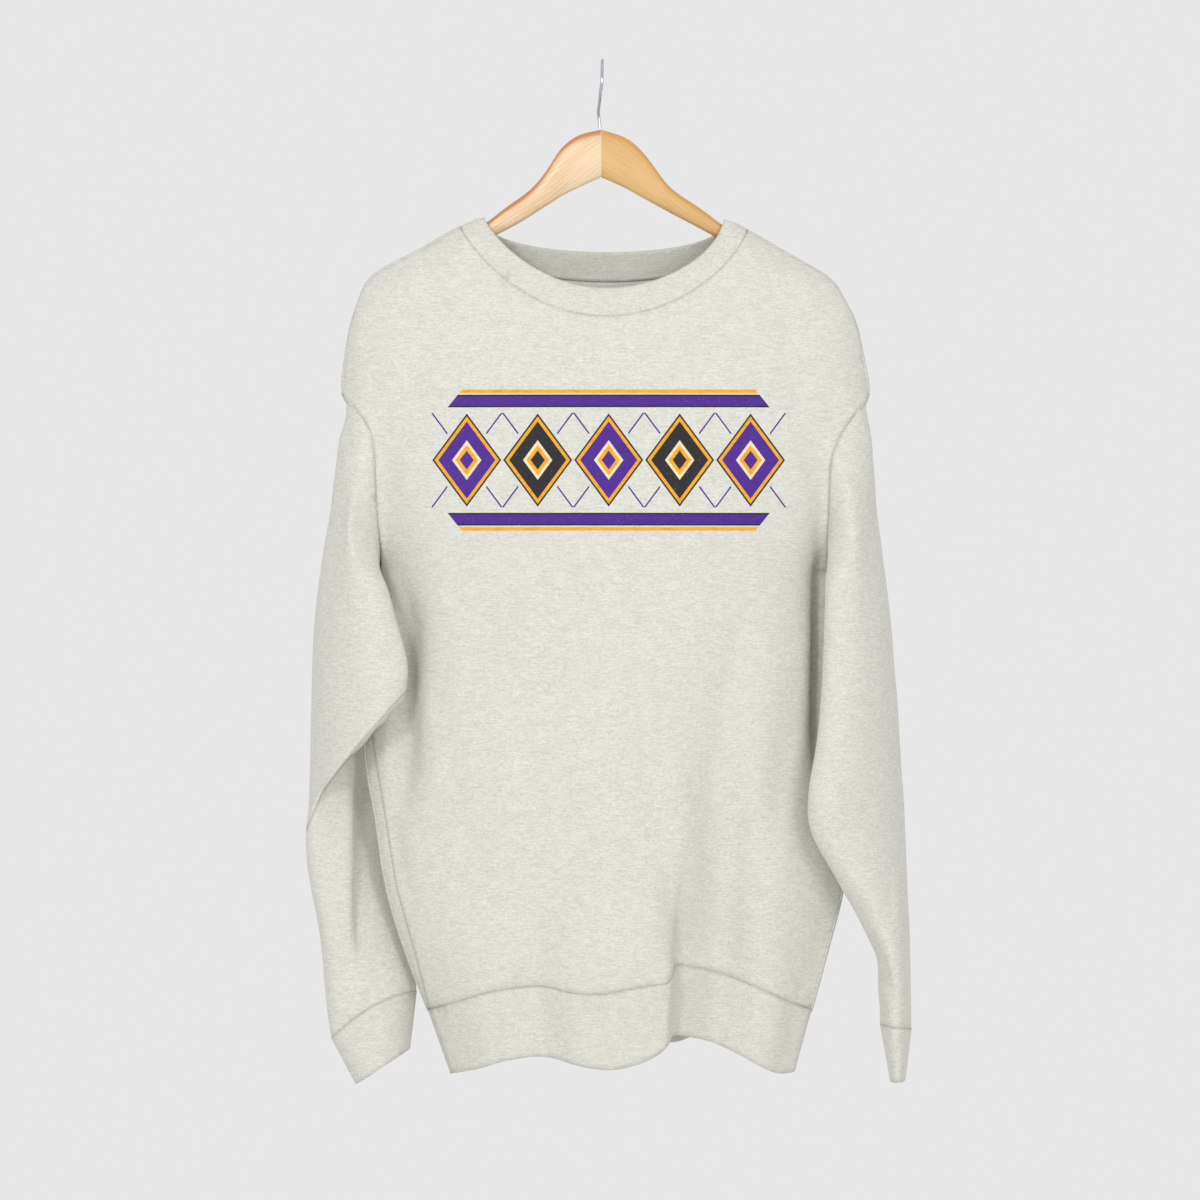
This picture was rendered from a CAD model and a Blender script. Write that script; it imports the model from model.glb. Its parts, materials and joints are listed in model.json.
import json
import math
import bmesh
import bpy
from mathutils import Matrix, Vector, noise
from mathutils.kdtree import KDTree

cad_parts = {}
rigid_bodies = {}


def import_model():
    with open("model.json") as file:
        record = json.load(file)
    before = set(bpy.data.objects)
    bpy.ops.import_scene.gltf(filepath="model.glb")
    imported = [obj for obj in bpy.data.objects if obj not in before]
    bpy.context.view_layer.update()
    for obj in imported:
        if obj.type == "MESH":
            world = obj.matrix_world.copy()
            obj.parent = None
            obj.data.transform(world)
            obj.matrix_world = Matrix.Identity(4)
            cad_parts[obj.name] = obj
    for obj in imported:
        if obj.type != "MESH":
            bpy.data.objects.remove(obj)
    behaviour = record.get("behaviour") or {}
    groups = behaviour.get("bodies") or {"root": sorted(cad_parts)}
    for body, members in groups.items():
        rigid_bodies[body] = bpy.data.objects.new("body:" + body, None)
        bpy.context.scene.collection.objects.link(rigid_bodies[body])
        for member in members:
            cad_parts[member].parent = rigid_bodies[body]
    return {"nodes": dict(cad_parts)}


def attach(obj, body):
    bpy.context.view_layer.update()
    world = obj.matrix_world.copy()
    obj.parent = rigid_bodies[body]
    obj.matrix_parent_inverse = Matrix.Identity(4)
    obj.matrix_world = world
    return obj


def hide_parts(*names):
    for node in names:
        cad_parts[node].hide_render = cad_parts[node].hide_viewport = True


# A crewneck sweatshirt on a wooden hanger, seen from the front. Metres, +Z up, -Y to the front.
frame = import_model()
nodes = frame["nodes"]
for leftover in list(bpy.data.objects):
    if leftover.type in {"MESH", "LIGHT", "CAMERA"} and leftover.name not in nodes:
        bpy.data.objects.remove(leftover)
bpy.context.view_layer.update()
print("frame loaded:", len(nodes), "nodes")

# Camera: square frame 1.02 m wide at the middle of the garment.
cameraSettings = {"distance": 9.0, "lens": 317.6, "aimX": -0.00085, "aimZ": -0.4573}
camera = bpy.data.objects.new("camera", bpy.data.cameras.new("camera"))
bpy.context.scene.collection.objects.link(camera)
camera.data.lens = cameraSettings["lens"]
camera.data.sensor_width = 36.0
camera.location = (cameraSettings["aimX"], -cameraSettings["distance"], cameraSettings["aimZ"])
camera.rotation_euler = (math.radians(90), 0, 0)
bpy.context.scene.camera = camera
bpy.context.scene.view_settings.view_transform = "Standard"
print("camera placed")

# Studio: a plain pale floor, even pale air, one soft key light, a fill and a weak top light.
studio = {
    "floorZ": -1.6, "floorRadius": 5, "floorColour": (0.84, 0.84, 0.84),
    "airColour": (1.0, 1.0, 1.0), "airStrength": 0.80,
    "lights": [
        # name, place, aim, size, watts
        ("key", (-1.3, -3.5, 0.5), (0.0, 0.0, -0.5), 0.8, 42),
        ("fill", (1.7, -3.1, 0.1), (0.0, 0.0, -0.5), 1.2, 21),
        ("top", (0.1, -0.5, 1.9), (0.0, 0.0, -0.4), 1.5, 3),
    ],
}


def makeStudio():
    bm = bmesh.new()
    bmesh.ops.create_circle(bm, cap_ends=True, segments=96, radius=studio["floorRadius"])
    bmesh.ops.translate(bm, verts=bm.verts, vec=(0, 0, studio["floorZ"]))
    mesh = bpy.data.meshes.new("floor")
    bm.to_mesh(mesh)
    bm.free()
    floor = bpy.data.objects.new("floor", mesh)
    bpy.context.scene.collection.objects.link(floor)
    paper = bpy.data.materials.new("floorPaper")
    paper.use_nodes = True
    shader = paper.node_tree.nodes["Principled BSDF"]
    shader.inputs["Base Color"].default_value = (*studio["floorColour"], 1)
    shader.inputs["Roughness"].default_value = 0.9
    mesh.materials.append(paper)
    for name, place, aim, size, watts in studio["lights"]:
        light = bpy.data.lights.new(name, "AREA")
        light.shape = "DISK"
        light.size = size
        light.energy = watts
        lamp = bpy.data.objects.new(name, light)
        lamp.location = place
        lamp.rotation_euler = (Vector(aim) - Vector(place)).to_track_quat("-Z", "Y").to_euler()
        bpy.context.scene.collection.objects.link(lamp)
    world = bpy.data.worlds.new("studioAir")
    world.use_nodes = True
    air = world.node_tree.nodes["Background"]
    air.inputs["Color"].default_value = (*studio["airColour"], 1)
    air.inputs["Strength"].default_value = studio["airStrength"]
    bpy.context.scene.world = world
    print("studio made")


makeStudio()


class Graph:
    # Short names for the node tree of one material.
    def __init__(self, name):
        self.material = bpy.data.materials.new(name)
        self.material.use_nodes = True
        self.tree = self.material.node_tree
        self.shader = self.tree.nodes["Principled BSDF"]
        self.place = self.tree.nodes.new("ShaderNodeTexCoord").outputs["Object"]

    def feed(self, socket, value):
        if isinstance(value, bpy.types.NodeSocket):
            self.tree.links.new(value, socket)
        elif isinstance(value, tuple) and len(value) == 3 and socket.type == "RGBA":
            socket.default_value = (*value, 1)
        else:
            socket.default_value = value

    def math(self, operation, *values):
        node = self.tree.nodes.new("ShaderNodeMath")
        node.operation = operation
        for socket, value in zip(node.inputs, values):
            self.feed(socket, value)
        return node.outputs[0]

    def blend(self, *pairs):
        # Sum of values, each times its share.
        total = self.math("MULTIPLY", *pairs[0])
        for value, share in pairs[1:]:
            total = self.math("ADD", total, self.math("MULTIPLY", value, share))
        return total

    def mapped(self, scale, turn=None):
        source = self.place
        if turn is not None:
            turned = self.tree.nodes.new("ShaderNodeMapping")
            self.feed(turned.inputs["Vector"], source)
            turned.inputs["Rotation"].default_value = turn
            source = turned.outputs[0]
        node = self.tree.nodes.new("ShaderNodeMapping")
        self.feed(node.inputs["Vector"], source)
        node.inputs["Scale"].default_value = scale
        return node.outputs[0]

    def noise(self, vector, scale, detail=2.0, roughness=0.5):
        node = self.tree.nodes.new("ShaderNodeTexNoise")
        self.feed(node.inputs["Vector"], vector)
        node.inputs["Scale"].default_value = scale
        node.inputs["Detail"].default_value = detail
        node.inputs["Roughness"].default_value = roughness
        return node.outputs[0]

    def spread(self, value, low, high, toLow=0.0, toHigh=1.0):
        node = self.tree.nodes.new("ShaderNodeMapRange")
        node.interpolation_type = "SMOOTHSTEP"
        for name, amount in (("Value", value), ("From Min", low), ("From Max", high),
                             ("To Min", toLow), ("To Max", toHigh)):
            self.feed(node.inputs[name], amount)
        return node.outputs[0]

    def mix(self, share, first, second, blend="MIX"):
        node = self.tree.nodes.new("ShaderNodeMix")
        node.data_type = "RGBA"
        node.blend_type = blend
        self.feed(node.inputs["Factor"], share)
        self.feed(node.inputs[6], first)  # the two colour inputs
        self.feed(node.inputs[7], second)
        return node.outputs[2]

    def attribute(self, name):
        node = self.tree.nodes.new("ShaderNodeAttribute")
        node.attribute_name = name
        return node.outputs["Fac"]

    def bump(self, height, distance, strength=1.0, under=None):
        node = self.tree.nodes.new("ShaderNodeBump")
        node.inputs["Strength"].default_value = strength
        node.inputs["Distance"].default_value = distance
        self.feed(node.inputs["Height"], height)
        if under is not None:
            self.feed(node.inputs["Normal"], under)
        return node.outputs[0]


# Heather fleece: oatmeal ground with short sideways streaks, soft mottling and a faint nap.
heather = {
    "light": (0.690, 0.690, 0.628), "dark": (0.512, 0.512, 0.458),
    "streakScale": (115, 115, 820), "fineScale": (330, 330, 1300), "mottle": 90, "fleck": 620,
    "nap": 1500, "napHeight": 0.00020, "sheen": 0.12,
}
seamLook = {
    # from and to in millimetres off the seam, and the values there
    "groove": (0.0, 1.1, 0.95, 1.0), "drawnGroove": (0.2, 1.7, 0.76, 1.0),
    "lipRise": (0.0, 2.2), "lipFall": (2.6, 6.5, 1.0, 0.0), "puckers": (1.0, 13.0, 1.0, 0.0),
    "height": 0.0004,  # metres
}
ribs = {"pitch": 2.1, "height": 0.00012}  # millimetres round the band, metres
crestBand = {
    # Five argyle diamonds between two pairs of bars, in millimetres from the middle of the chest.
    "middleX": 6.5, "middleZ": -339, "cell": 60.0, "halfWidth": 150.0, "slant": 0.74,
    "purple": (0.065, 0.012, 0.25), "gold": (0.80, 0.36, 0.01),
    "charcoal": (0.014, 0.013, 0.017), "cream": (0.78, 0.66, 0.44),
    # tint and reach of each step of a diamond, outermost first; ink is purple or charcoal in turn
    "steps": [
        ("charcoal", 29.2), ("gold", 27.4), ("ink", 24.2), ("cream", 12.4), ("gold", 9.6), ("ink", 6.0),
    ],
    # thin lines that cross between the diamonds: half width, height that they reach, reach that they start at
    "lattice": (0.8, 40.0, 33.0),
    # bars above and below: tint, middle and half width; their ends are cut slanting
    "bars": [("charcoal", 50.0, 5.4), ("purple", 50.0, 3.9), ("gold", 58.2, 1.5)],
    "barEnd": 172.0, "barSlant": 0.8,
}


def fleeceMaterial(name, ribbed=False, printed=False):
    g = Graph(name)
    streak = g.noise(g.mapped(heather["streakScale"]), 1.0, 3.0, 0.65)
    fine = g.noise(g.mapped(heather["fineScale"]), 1.0, 2.0, 0.6)
    mottle = g.noise(g.place, heather["mottle"], 3.0, 0.6)
    fleck = g.noise(g.place, heather["fleck"], 2.0, 0.6)
    speck = g.blend((streak, 0.34), (fine, 0.32), (mottle, 0.08), (fleck, 0.26))
    colour = g.mix(g.spread(speck, 0.36, 0.64), heather["dark"], heather["light"])
    away = g.attribute("seamAway")
    drawn = g.math("ABSOLUTE", g.attribute("drawnSeam"))
    alongSeam = g.attribute("seamAlong")
    groove = g.math(
        "MULTIPLY", g.spread(away, *seamLook["groove"]), g.spread(drawn, *seamLook["drawnGroove"]))
    colour = g.mix(1.0, colour, g.mix(groove, (0, 0, 0), (1, 1, 1)), "MULTIPLY")
    roughness = g.spread(speck, 0.35, 0.65, 0.9, 0.97)
    nap = g.noise(g.place, heather["nap"], 3.0, 0.7)
    knit = g.blend((nap, 0.5), (fine, 0.5))
    relief = g.bump(knit, heather["napHeight"], 0.55)
    # Lip of the seam and the small puckers that its stitches draw in.
    nearest = g.math("MINIMUM", away, drawn)
    lip = g.math("MULTIPLY", g.spread(nearest, *seamLook["lipRise"]), g.spread(nearest, *seamLook["lipFall"]))
    gathers = g.math("SINE", g.blend((alongSeam, 0.9), (mottle, 6.0)))
    gathers = g.math("MULTIPLY", gathers, g.spread(away, *seamLook["puckers"]))
    height = g.math("ADD", lip, g.math("MULTIPLY", gathers, 0.5))
    relief = g.bump(height, seamLook["height"], 0.45, relief)
    if ribbed:
        rib = g.math("SINE", g.math("MULTIPLY", g.attribute("around"), 2 * math.pi / ribs["pitch"]))
        relief = g.bump(rib, ribs["height"], 0.5, relief)
    if printed:
        colour, roughness = chestPrint(g, colour, roughness)
    g.feed(g.shader.inputs["Base Color"], colour)
    g.feed(g.shader.inputs["Roughness"], roughness)
    g.feed(g.shader.inputs["Normal"], relief)
    g.shader.inputs["Sheen Weight"].default_value = heather["sheen"]
    g.shader.inputs["Sheen Roughness"].default_value = 0.6
    g.shader.inputs["Specular IOR Level"].default_value = 0.2
    return g.material


def chestPrint(g, colour, roughness):
    axes = g.tree.nodes.new("ShaderNodeSeparateXYZ")
    g.feed(axes.inputs[0], g.place)
    x = g.math("SUBTRACT", g.math("MULTIPLY", axes.outputs["X"], 1000.0), crestBand["middleX"])
    z = g.math("SUBTRACT", g.math("MULTIPLY", axes.outputs["Z"], 1000.0), crestBand["middleZ"])
    high = g.math("ABSOLUTE", z)
    wide = g.math("ABSOLUTE", x)
    cell = g.math("ADD", g.math("DIVIDE", x, crestBand["cell"]), 0.5)
    number = g.math("FLOOR", cell)
    across = g.math("MULTIPLY", g.math("SUBTRACT", g.math("FRACT", cell), 0.5), crestBand["cell"])
    slanted = g.math("MULTIPLY", high, crestBand["slant"])
    reach = g.math("ADD", g.math("ABSOLUTE", across), slanted)
    odd = g.math("ABSOLUTE", g.math("MODULO", number, 2.0))
    inRow = g.math("LESS_THAN", wide, crestBand["halfWidth"])
    barSlant = g.math("MULTIPLY", high, crestBand["barSlant"])
    barEnd = g.math("LESS_THAN", g.math("ADD", wide, barSlant), crestBand["barEnd"])

    def within(limit):
        return g.math("MULTIPLY", g.math("LESS_THAN", reach, limit), inRow)

    def bar(middle, half):
        gap = g.math("ABSOLUTE", g.math("SUBTRACT", high, middle))
        return g.math("MULTIPLY", g.math("LESS_THAN", gap, half), barEnd)

    tints = dict(crestBand, ink=g.mix(odd, crestBand["purple"], crestBand["charcoal"]))
    drawn = colour
    for tint, limit in crestBand["steps"]:
        drawn = g.mix(within(limit), drawn, tints[tint])
    half, highest, start = crestBand["lattice"]
    lattice = g.math("ABSOLUTE", g.math("SUBTRACT", g.math("ABSOLUTE", across), slanted))
    lines = g.math("MULTIPLY", g.math("LESS_THAN", lattice, half), g.math("LESS_THAN", high, highest))
    lines = g.math("MULTIPLY", lines, g.math("GREATER_THAN", reach, start))
    lines = g.math("MULTIPLY", lines, inRow)
    drawn = g.mix(lines, drawn, crestBand["purple"])
    covered = within(crestBand["steps"][0][1])
    for tint, middle, half in crestBand["bars"]:
        drawn = g.mix(bar(middle, half), drawn, tints[tint])
        covered = g.math("MAXIMUM", covered, bar(middle, half))
    # Ink that has worn off in small spots and takes a little of the cloth's tone.
    worn = g.spread(g.noise(g.place, 900.0, 3.0, 0.6), 0.66, 0.74, 1.0, 0.55)
    tone = g.spread(g.noise(g.mapped((120, 120, 420)), 1.0, 3.0), 0.3, 0.7, 0.82, 1.16)
    drawn = g.mix(1.0, drawn, g.mix(tone, (0, 0, 0), (1, 1, 1)), "MULTIPLY")
    shown = g.math("MAXIMUM", g.math("MULTIPLY", covered, worn), lines)
    colour = g.mix(shown, colour, drawn)
    roughness = g.math("SUBTRACT", roughness, g.math("MULTIPLY", shown, 0.38))
    return colour, roughness


# Varnished maple: the light and deep grain, the upper edge, and the turn that lays the grain along the arm.
maple = {
    "pale": ((0.81, 0.65, 0.44), (0.61, 0.35, 0.15), (0.50, 0.17, 0.03), 0.62),
    "warm": ((0.69, 0.44, 0.185), (0.53, 0.285, 0.09), (0.58, 0.28, 0.065), -0.62),
    "wander": (7, 30, 30), "fibre": (40, 1300, 1300), "patch": (14, 60, 60), "lines": 1900.0, "waver": 30.0,
}
wire = {"dark": (0.40, 0.41, 0.43), "bright": (0.60, 0.61, 0.63)}


def woodMaterial(name, light, deep, edge, slope):
    # Fine straight grain along the arm, a little darker where the upper edge rounds off.
    g = Graph(name)
    turned = g.tree.nodes.new("ShaderNodeSeparateXYZ")
    g.feed(turned.inputs[0], g.mapped((1, 1, 1), (0, slope, 0)))
    wander = g.noise(g.mapped(maple["wander"], (0, slope, 0)), 1.0, 3.0, 0.55)
    lines = g.blend((turned.outputs["Z"], maple["lines"]), (wander, maple["waver"]))
    lines = g.spread(g.math("SINE", lines), 0.1, 1.0)
    fibre = g.noise(g.mapped(maple["fibre"], (0, slope, 0)), 1.0, 3.0, 0.6)
    patch = g.noise(g.mapped(maple["patch"], (0, slope, 0)), 1.0, 2.0, 0.5)
    tone = g.blend((lines, 0.2), (g.spread(fibre, 0.3, 0.7), 0.34), (g.spread(patch, 0.35, 0.65), 0.26))
    colour = g.mix(tone, light, deep)
    normals = g.tree.nodes.new("ShaderNodeSeparateXYZ")
    g.feed(normals.inputs[0], g.tree.nodes.new("ShaderNodeTexCoord").outputs["Normal"])
    facing = g.spread(normals.outputs["Z"], 0.22, 0.5)
    colour = g.mix(g.math("MULTIPLY", facing, 0.9), colour, edge)
    g.feed(g.shader.inputs["Base Color"], colour)
    g.feed(g.shader.inputs["Roughness"], g.spread(fibre, 0.3, 0.7, 0.34, 0.48))
    g.feed(g.shader.inputs["Normal"], g.bump(tone, 0.0001, 0.3))
    g.shader.inputs["Coat Weight"].default_value = 0.2
    g.shader.inputs["Coat Roughness"].default_value = 0.2
    return g.material


def chromeMaterial():
    g = Graph("brightWire")
    drawnOut = g.noise(g.mapped((2500, 2500, 120)), 1.0, 3.0, 0.6)
    smudge = g.noise(g.place, 160.0, 3.0, 0.5)
    g.feed(g.shader.inputs["Base Color"], g.mix(g.spread(drawnOut, 0.3, 0.7), wire["dark"], wire["bright"]))
    g.feed(g.shader.inputs["Roughness"], g.spread(smudge, 0.3, 0.7, 0.12, 0.3))
    g.feed(g.shader.inputs["Normal"], g.bump(drawnOut, 0.0001, 0.2))
    g.shader.inputs["Metallic"].default_value = 1.0
    return g.material


bodyFleece = fleeceMaterial("heatherFleece")
chestFleece = fleeceMaterial("heatherFleecePrinted", printed=True)
ribFleece = fleeceMaterial("heatherRib", ribbed=True)
paleMaple = woodMaterial("varnishedMaplePale", *maple["pale"])
warmMaple = woodMaterial("varnishedMapleWarm", *maple["warm"])
brightWire = chromeMaterial()
print("materials made")


# One face of a cloth node: its copy is merged, its rims and its inner wall come off, and it is refined twice.
refining = {"levels": 2, "fits": 2, "seamReach": 0.0007, "anyAngle": 4.0, "spotPasses": 14}
# Soft unevenness of the cloth, which fades out within some millimetres of a border.
unevenness = {"scale": (14, 14, 8), "shift": 7, "calmBorder": 16}
# Where the collar seam hardly shows, in metres, and how far its groove is moved off, in millimetres.
plainNeck = {"middleX": 0.006, "halfWidth": 0.112, "bottomZ": -0.26, "ease": 0.8}


def connected(faces, sharpest):
    # Groups of faces that meet at edges no sharper than the angle given.
    groups = []
    left = set(faces)
    while left:
        group = [left.pop()]
        for face in group:
            for edge in face.edges:
                if len(edge.link_faces) == 2 and edge.calc_face_angle() > sharpest:
                    continue
                for other in edge.link_faces:
                    if other in left:
                        left.remove(other)
                        group.append(other)
        groups.append(group)
    return groups


def withoutRims(group, thin):
    # Takes off the narrow faces along a group's border, which are the cut ends of the wall.
    kept = set(group)
    while True:
        narrow = []
        for face in kept:
            for edge in face.edges:
                onBorder = any(other not in kept for other in edge.link_faces)
                if onBorder and 2 * face.calc_area() < thin * edge.calc_length():
                    narrow.append(face)
                    break
        if not narrow:
            return kept
        kept.difference_update(narrow)


def outerFace(node, wall, facing, rimAngle, rimRatio):
    bm = bmesh.new()
    bm.from_mesh(nodes[node].data)
    bmesh.ops.remove_doubles(bm, verts=bm.verts, dist=1e-6)
    bm.normal_update()
    walls = set()
    for group in connected(bm.faces, math.radians(rimAngle)):
        walls |= withoutRims(group, rimRatio * wall)
    sides = connected(walls, refining["anyAngle"])
    if facing:
        kept = max(sides, key=lambda side: sum(face.normal.y * facing * face.calc_area() for face in side))
    else:
        kept = max(sides, key=lambda side: sum(face.calc_area() for face in side))
    print("  ", node, "walls:", sorted(len(side) for side in sides), "kept:", len(kept))
    keptFaces = set(kept)
    bmesh.ops.delete(bm, geom=[face for face in bm.faces if face not in keptFaces], context="FACES")
    bmesh.ops.join_triangles(
        bm, faces=bm.faces, angle_face_threshold=math.pi, angle_shape_threshold=math.pi)
    return bm


def makePiece(bm, name):
    mesh = bpy.data.meshes.new(name)
    bm.to_mesh(mesh)
    bm.free()
    if mesh.attributes.get("custom_normal"):
        mesh.attributes.remove(mesh.attributes["custom_normal"])
    piece = bpy.data.objects.new(name, mesh)
    bpy.context.scene.collection.objects.link(piece)
    return piece


def refine(piece, levels):
    # Subdivided so that the finer surface still passes through the corners it started from.
    wanted = [vert.co.copy() for vert in piece.data.vertices]
    modifier = piece.modifiers.new("refine", "SUBSURF")
    modifier.levels = levels
    modifier.render_levels = levels
    modifier.boundary_smooth = "PRESERVE_CORNERS"
    for step in range(refining["fits"]):
        made = piece.evaluated_get(bpy.context.evaluated_depsgraph_get()).data
        shifts = [place - made.vertices[i].co for i, place in enumerate(wanted)]
        for vert, shift in zip(piece.data.vertices, shifts):
            vert.co += shift
        piece.data.update()
        bpy.context.view_layer.update()
    finished = bpy.data.meshes.new_from_object(
        piece.evaluated_get(bpy.context.evaluated_depsgraph_get()))
    piece.modifiers.clear()
    piece.data = finished
    finished.name = piece.name


def easeSpots(piece, spots):
    # Smooths a pinch that the finer mesh makes where its corners crowd together: x, z and radius in mm.
    bm = bmesh.new()
    bm.from_mesh(piece.data)
    for x, z, radius in spots:
        near = [vert for vert in bm.verts if math.hypot(vert.co.x * 1000 - x, vert.co.z * 1000 - z) < radius]
        for step in range(refining["spotPasses"]):
            bmesh.ops.smooth_vert(
                bm, verts=near, factor=0.5, use_axis_x=True, use_axis_y=True, use_axis_z=True)
    bm.to_mesh(piece.data)
    bm.free()


def seamDistances(piece, loopsKept):
    # Distance from each point to the nearest seam edge, and the place along it, in millimetres.
    bm = bmesh.new()
    bm.from_mesh(piece.data)
    bm.verts.ensure_lookup_table()
    edges = dict.fromkeys(edge for edge in bm.edges if edge.is_boundary)
    loops = []
    while edges:
        edge = next(iter(edges))  # in the mesh's own order, so that each run is the same
        del edges[edge]
        chain = [edge.verts[0], edge.verts[1]]
        while True:
            following = next((e for e in chain[-1].link_edges if e in edges), None)
            if following is None:
                break
            del edges[following]
            chain.append(following.other_vert(chain[-1]))
        loops.append([vert.co.copy() for vert in chain])
    loops = loopsKept(loops)
    points = []
    for loop in loops:
        run = 0.0
        for a, b in zip(loop, loop[1:]):
            points.append((a, b, run))
            run += (b - a).length
    tree = KDTree(len(points))
    for index, (a, b, run) in enumerate(points):
        tree.insert((a + b) / 2, index)
    tree.balance()
    away = []
    along = []
    for vert in bm.verts:
        best = (1.0, 0.0)
        for spot, index, distance in tree.find_n(vert.co, 3):
            a, b, run = points[index]
            line = b - a
            t = max(0.0, min(1.0, (vert.co - a).dot(line) / max(line.length_squared, 1e-12)))
            gap = (vert.co - a - line * t).length
            if gap < best[0]:
                best = (gap, run + t * line.length)
        away.append(best[0] * 1000)
        along.append(best[1] * 1000)
    bm.free()
    return away, along


def closeSeams(piece, reach):
    # Lets the border grow a little, square to itself, so that neighbouring pieces meet in a thin line.
    bm = bmesh.new()
    bm.from_mesh(piece.data)
    moves = []
    for vert in bm.verts:
        ends = [edge.other_vert(vert).co for edge in vert.link_edges if edge.is_boundary]
        if len(ends) == 2:
            tangent = (ends[1] - ends[0]).normalized()
            inside = sum((face.calc_center_median() for face in vert.link_faces), Vector())
            outward = vert.co - inside / len(vert.link_faces)
            outward -= tangent * outward.dot(tangent)
            moves.append((vert, outward.normalized() * reach))
    for vert, move in moves:
        vert.co += move
    bm.to_mesh(piece.data)
    bm.free()


def drawnSeamDistances(piece, lines):
    # Signed distance to seams inside a piece, in millimetres. A line is the side that it is on and its places
    # in front view, and it runs on past the border of the piece.
    values = [99.0] * len(piece.data.vertices)
    for facing, line in lines:
        ends = [Vector((x / 1000, z / 1000)) for x, z in line]
        for index, vert in enumerate(piece.data.vertices):
            if vert.normal.y * facing < -0.2:
                continue
            spot = Vector((vert.co.x, vert.co.z))
            for a, b in zip(ends, ends[1:]):
                span = b - a
                t = max(0.0, min(1.0, (spot - a).dot(span) / span.length_squared))
                gap = (spot - a - span * t).length * 1000
                if gap < abs(values[index]):
                    values[index] = -gap if span.cross(spot - a) > 0 else gap
    return values


def storeValues(piece, name, values):
    layer = piece.data.attributes.new(name, "FLOAT", "POINT")
    layer.data.foreach_set("value", values)


def creaseDepth(creases, x, z):
    # Sum of the soft troughs at a place in front view; ridges have a negative depth. A pair of half widths
    # makes one side steeper: for a line drawn downwards the first one is on the left.
    total = 0.0
    for x0, z0, x1, z1, half, depth, fade in creases:
        alongX = x1 - x0
        alongZ = z1 - z0
        length = math.hypot(alongX, alongZ)
        run = ((x - x0) * alongX + (z - z0) * alongZ) / length
        if run < -fade or run > length + fade:
            continue
        across = ((z - z0) * alongX - (x - x0) * alongZ) / length
        if isinstance(half, tuple):
            half = half[0] if across < 0 else half[1]
        if abs(across) > 3 * half:
            continue
        ends = min(1.0, (run + fade) / (2 * fade)) * min(1.0, (length + fade - run) / (2 * fade))
        ends = ends * ends * (3 - 2 * ends)
        total += depth * ends * math.exp(-(across / half) ** 2)
    return total


def pressCreases(piece, front, back, ripple, away):
    # Moves each point along its normal; those that face forward follow the front's list.
    mesh = piece.data
    normals = [vert.normal.copy() for vert in mesh.vertices]
    scaleX, scaleY, scaleZ = unevenness["scale"]
    for vert, normal, gap in zip(mesh.vertices, normals, away):
        x = vert.co.x * 1000
        z = vert.co.z * 1000
        share = max(0.0, min(1.0, 0.5 - normal.y * 1.5))
        depth = 0.0
        if share > 0:
            depth += share * creaseDepth(front, x, z)
        if share < 1:
            depth += (1 - share) * creaseDepth(back, x, z)
        spot = Vector((vert.co.x * scaleX, vert.co.y * scaleY + unevenness["shift"], vert.co.z * scaleZ))
        wander = noise.fractal(spot, 0.7, 2.0, 3)
        hold = min(1.0, gap / unevenness["calmBorder"])
        vert.co -= normal * (depth * hold + ripple * wander * hold) / 1000
    mesh.update()


def finishCloth(piece, node, material, wall):
    piece.data.materials.clear()
    piece.data.materials.append(material)
    piece.data.shade_smooth()
    shell = piece.modifiers.new("wall", "SOLIDIFY")
    if material == chestFleece:
        # The inner wall carries no print.
        piece.data.materials.append(bodyFleece)
        shell.material_offset = 1
    shell.thickness = wall / 1000
    shell.offset = -1
    shell.use_even_offset = False
    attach(piece, "root")
    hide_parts(node)


def everyLoop(loops):
    return loops


def upperLoop(loops):
    return [max(loops, key=lambda loop: sum(point.z for point in loop) / len(loop))]


def lowerLoop(loops):
    return [min(loops, key=lambda loop: sum(point.z for point in loop) / len(loop))]


def around(piece):
    # Length round a band at its middle height, for the ribs.
    points = [vert.co for vert in piece.data.vertices]
    middle = sum(points, Vector()) / len(points)
    spans = [max(abs(point[axis] - middle[axis]) for point in points) for axis in (0, 1)]
    values = []
    for point in points:
        turn = math.atan2((point.y - middle.y) / spans[1], (point.x - middle.x) / spans[0])
        values.append(turn / (2 * math.pi) * 2.2 * (spans[0] + spans[1]) * 1000 * 2)
    storeValues(piece, "around", values)


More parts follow.
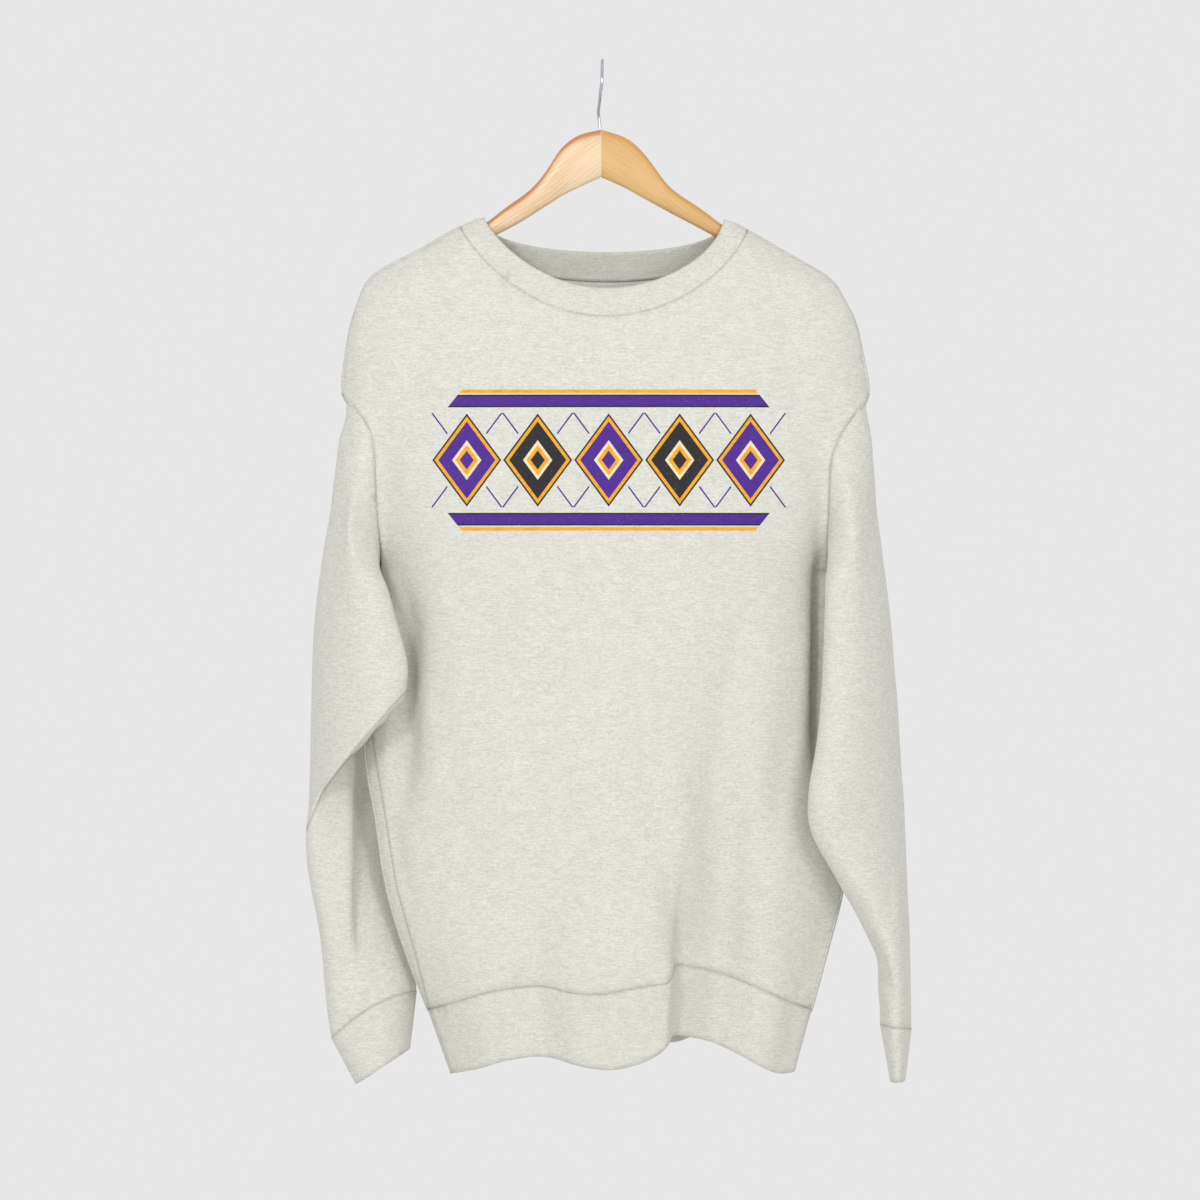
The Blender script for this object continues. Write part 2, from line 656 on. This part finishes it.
clothPieces = {
    "front": {
        "node": "front_panel", "wall": 2.4, "facing": -1, "rims": (48, 2.2), "flat": (0.56, 0.66),
        "area": 0.257, "ripple": 0.9, "plainNeck": True,
        "front": [
            # x0, z0, x1, z1, half width, depth, fade
            (-150, -205, -168, -330, 11, 2.4, 40), (156, -210, 172, -340, 10, 2.2, 40),
            (-120, -430, -60, -560, 18, 1.6, 60), (120, -470, 94, -640, 16, 4.5, 60),
            (30, -560, 60, -700, 14, 1.6, 50), (-20, -620, -40, -740, 12, 1.5, 40),
            (-130, -560, -110, -680, 12, 1.6, 40), (160, -560, 140, -690, 11, 1.6, 40),
            (-60, -180, -90, -250, 14, 1.0, 30), (64, -180, 96, -250, 14, 1.0, 30),
            (-168, -470, -171, -620, (6, 13), 15.0, 40), (192, -400, 187, -590, 7, 20.0, 40),
            (-178, -640, -166, -700, 7, 2.4, 24), (70, -690, 76, -790, 11, 3.4, 24),
            (110, -630, 92, -770, 20, 6.0, 40),
        ],
        "back": [],
        "drawnSeams": [
            # the side that it is on, then its places from above down
            (-1, [(-203, -500), (-192.5, -586), (-183.5, -640), (-174, -700), (-157, -760), (-137, -840)]),
        ],
    },
    "back": {
        "node": "back_panel", "wall": 2.4, "facing": 1, "rims": (48, 2.2), "flat": (0.56, 0.66),
        "area": 0.255, "ripple": 1.0, "plainNeck": True, "spots": [(-115, -246, 17)],
        "front": [],
        "back": [
            (-140, -215, -150, -340, 12, 2.6, 40), (146, -215, 158, -350, 12, 2.4, 40),
            (-90, -200, -40, -300, 16, 1.5, 40), (92, -205, 50, -310, 16, 1.4, 40),
            (-120, -420, -90, -600, 18, 2.2, 70), (128, -440, 110, -600, 16, 2.2, 70),
            (10, -420, -20, -640, 20, 1.6, 80), (30, -640, 40, -760, 12, 1.6, 40),
            (-40, -650, -30, -770, 12, 1.5, 40),
        ],
    },
    "sleeveWearersRight": {
        "node": "sleeve_wearers_right", "wall": 2.4, "facing": 0, "rims": (64, 1.8), "flat": (0.42, 0.56),
        "area": 0.111, "ripple": 1.1,
        "front": [
            (-214, -300, -206, -400, 9, 2.0, 40), (-228, -330, -222, -470, 10, 1.4, 50),
            (-203, -610, -204, -750, (5, 22), 14.0, 26), (-216, -620, -215, -700, 6, -3.0, 26),
            (-186, -470, -226, -520, 12, 1.6, 26), (-184, -520, -216, -548, 10, 1.4, 20),
            (-222, -760, -214, -815, 7, 1.6, 20), (-188, -780, -192, -815, 6, 1.4, 14),
        ],
        "drawnSeams": [(-1, [(-140, -508), (-178, -549), (-209, -584), (-236, -620), (-262, -680)])],
        "back": [
            (-214, -300, -206, -400, 10, 2.0, 40), (-190, -560, -226, -590, 9, 2.2, 26),
            (-184, -610, -226, -628, 8, 2.4, 26), (-200, -670, -228, -700, 9, 1.8, 26),
            (-196, -730, -214, -800, 8, 1.8, 26),
        ],
    },
    "sleeveWearersLeft": {
        "node": "sleeve_wearers_left", "wall": 2.4, "facing": 0, "rims": (64, 1.8), "flat": (0.42, 0.56),
        "area": 0.117, "ripple": 1.1,
        "front": [
            (216, -300, 212, -410, 9, 1.8, 40), (232, -340, 226, -480, 10, 1.4, 50),
            (190, -600, 226, -628, 8, 2.4, 22), (188, -650, 222, -668, 8, 2.0, 20),
            (206, -700, 232, -730, 7, 1.8, 22), (228, -752, 249, -796, 5.5, 4.0, 14),
            (236, -800, 258, -812, 5, 2.6, 10),
            (244, -690, 240, -740, 7, 1.2, 20),
        ],
        "back": [
            (214, -300, 210, -410, 10, 2.0, 40), (196, -590, 236, -610, 9, 2.2, 24),
            (196, -640, 238, -652, 8, 2.4, 24), (206, -690, 244, -706, 8, 1.8, 24),
            (236, -750, 250, -800, 6, 1.8, 18),
        ],
    },
    "collarBand": {
        "node": "collar", "wall": 3, "facing": 0, "rims": (72, 1.8), "flat": (0.56, 0.03),
        "area": 0.0123, "ripple": 0.25, "front": [], "back": [], "loops": lowerLoop, "ribbed": True,
        "seamEase": 0.8,
    },
    "hemBand": {
        "node": "hem_band", "wall": 3, "facing": 0, "rims": (72, 1.8), "flat": (0.75, 0.065),
        "area": 0.0414, "ripple": 0.7,
        "front": [
            (-90, -800, -84, -850, 9, 1.2, 20), (-30, -800, -36, -850, 9, 1.2, 20),
            (22, -800, 26, -850, 8, 1.0, 20), (118, -800, 120, -850, 9, 1.2, 20),
        ],
        "back": [
            (-60, -800, -64, -850, 10, 1.4, 20), (52, -800, 56, -850, 10, 1.4, 20),
            (120, -800, 124, -850, 8, 1.0, 20),
        ],
        "loops": upperLoop, "ribbed": True,
    },
    "cuffWearersRight": {
        "node": "cuff_wearers_right", "wall": 3, "facing": 0, "rims": (72, 1.8), "flat": (0.24, 0.065),
        "area": 0.0087, "ripple": 0.4, "front": [(-196, -815, -190, -850, 6, 1.0, 12)], "back": [],
        "loops": upperLoop, "ribbed": True,
    },
    "cuffWearersLeft": {
        "node": "cuff_wearers_left", "wall": 3, "facing": 0, "rims": (72, 1.8), "flat": (0.24, 0.065),
        "area": 0.0078, "ripple": 0.4, "front": [], "back": [], "loops": upperLoop, "ribbed": True,
        "seamEase": 0.6,
    },
}

for name, settings in clothPieces.items():
    face = outerFace(settings["node"], settings["wall"] / 1000, settings["facing"], *settings["rims"])
    piece = makePiece(face, name)
    refine(piece, refining["levels"])
    easeSpots(piece, settings.get("spots", []))
    closeSeams(piece, refining["seamReach"])
    away, along = seamDistances(piece, settings.get("loops", everyLoop))
    away = [gap + settings.get("seamEase", 0.0) for gap in away]
    if settings.get("plainNeck"):
        atNeck = [abs(vert.co.x - plainNeck["middleX"]) < plainNeck["halfWidth"]
                  and vert.co.z > plainNeck["bottomZ"] for vert in piece.data.vertices]
        away = [gap + plainNeck["ease"] * near for gap, near in zip(away, atNeck)]
    rimAway = seamDistances(piece, everyLoop)[0]
    pressCreases(piece, settings["front"], settings["back"], settings["ripple"], rimAway)
    storeValues(piece, "drawnSeam", drawnSeamDistances(piece, settings.get("drawnSeams", [])))
    storeValues(piece, "seamAway", away)
    storeValues(piece, "seamAlong", along)
    material = chestFleece if name == "front" else bodyFleece
    if settings.get("ribbed"):
        around(piece)
        material = ribFleece
    finishCloth(piece, settings["node"], material, settings["wall"])
    print("cloth piece made:", name, len(piece.data.polygons), "faces")


# The hanger's arms and its wire: rounded copies of their nodes with crisp ends.
crispEnds = {"joined": 0.7, "sharp": 60}  # radians, degrees
hangerPieces = {
    "armLeft": {"node": "hanger_arm_left", "material": paleMaple, "slot": "wood", "levels": 2},
    "armRight": {"node": "hanger_arm_right", "material": warmMaple, "slot": "wood", "levels": 2},
    "hook": {
        "node": "hanger_hook", "material": brightWire, "slot": "wire", "levels": 1, "thinner": 0.0003,
        # height and sideways shift of the bent wire, metres
        "bend": [(0.01, 0.0012), (-0.016, 0.0008), (-0.03, -0.0008), (-0.042, -0.0022), (-0.06, -0.0006),
                 (-0.066, 0.0), (-0.2, 0.0)],
    },
}


def bendAt(bend, z):
    for (upper, first), (lower, second) in zip(bend, bend[1:]):
        if upper >= z > lower:
            t = (upper - z) / (upper - lower)
            return first + (second - first) * t * t * (3 - 2 * t)
    return 0.0


for name, settings in hangerPieces.items():
    bm = bmesh.new()
    bm.from_mesh(nodes[settings["node"]].data)
    bmesh.ops.remove_doubles(bm, verts=bm.verts, dist=1e-6)
    bmesh.ops.join_triangles(
        bm, faces=bm.faces, angle_face_threshold=crispEnds["joined"], angle_shape_threshold=math.pi)
    bm.normal_update()
    if settings.get("bend"):
        for vert in bm.verts:
            vert.co -= vert.normal * settings["thinner"]
            vert.co.x += bendAt(settings["bend"], vert.co.z)
    crease = bm.edges.layers.float.new("crease_edge")
    for edge in bm.edges:
        edge.smooth = edge.calc_face_angle(0) < math.radians(crispEnds["sharp"])
        edge[crease] = 0.0 if edge.smooth else 1.0
    for face in bm.faces:
        face.smooth = True
    piece = makePiece(bm, name)
    piece.data.materials.clear()
    piece.data.materials.append(settings["material"])
    modifier = piece.modifiers.new("round", "SUBSURF")
    modifier.levels = settings["levels"]
    modifier.render_levels = settings["levels"]
    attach(piece, "root")
    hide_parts(settings["node"])
    print("hanger piece made:", name)
